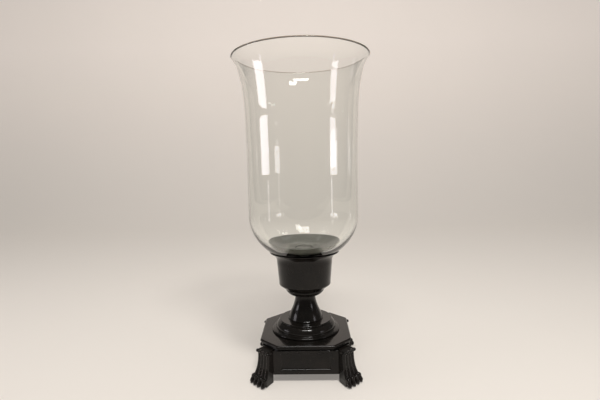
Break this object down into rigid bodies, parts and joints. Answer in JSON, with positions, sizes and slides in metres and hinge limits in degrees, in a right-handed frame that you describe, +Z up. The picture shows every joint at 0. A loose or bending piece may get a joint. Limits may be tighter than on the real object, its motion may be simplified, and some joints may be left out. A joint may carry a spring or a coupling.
{
  "type": "hurricane candle lantern",
  "caption": "Clear glass hurricane shade with a flared mouth, standing in a dark metal cup on a turned stem and a square plinth with lion-paw feet.",
  "frame": {"origin": "on the surface the lantern stands on, under its middle", "axes": "+Z up along the lantern's axis; +X and +Y square to the plinth's sides, the front faces -Y"},
  "size_m": [0.182, 0.182, 0.417],
  "materials": {
    "glass": "clear, polished, faint olive tint in the thick bottom",
    "plate_metal": "gloss lacquer, very dark bronze",
    "lacquered_metal": "gloss lacquer, near-black bronze",
    "plated_steel": "zinc plated",
    "felt": "dense felt"
  },
  "bodies": {
    "base": {"cup": "lacquered_metal", "cup_collar": "lacquered_metal", "stem": "lacquered_metal", "base_dome": "lacquered_metal", "top_plate": "lacquered_metal", "plinth_box": "lacquered_metal", "leg_front_left": "lacquered_metal", "leg_front_right": "lacquered_metal", "leg_back_left": "lacquered_metal", "leg_back_right": "lacquered_metal", "tie_rod": "plated_steel", "top_nut": "plated_steel", "top_washer": "plated_steel", "bottom_nut": "plated_steel", "bottom_washer": "plated_steel", "leg_screws": "plated_steel", "foot_pads": "felt"},
    "shade": {"glass_shade": "glass"},
    "plate": {"candle_plate": "plate_metal"}
  },
  "joints": [
    {"name": "shade_lift", "type": "slide", "parent": "base", "child": "shade", "axis": [0, 0, 1], "range_m": [0, 0.06]},
    {"name": "plate_lift", "type": "slide", "parent": "shade", "child": "plate", "axis": [0, 0, 1], "range_m": [0, 0.27]}
  ]
}
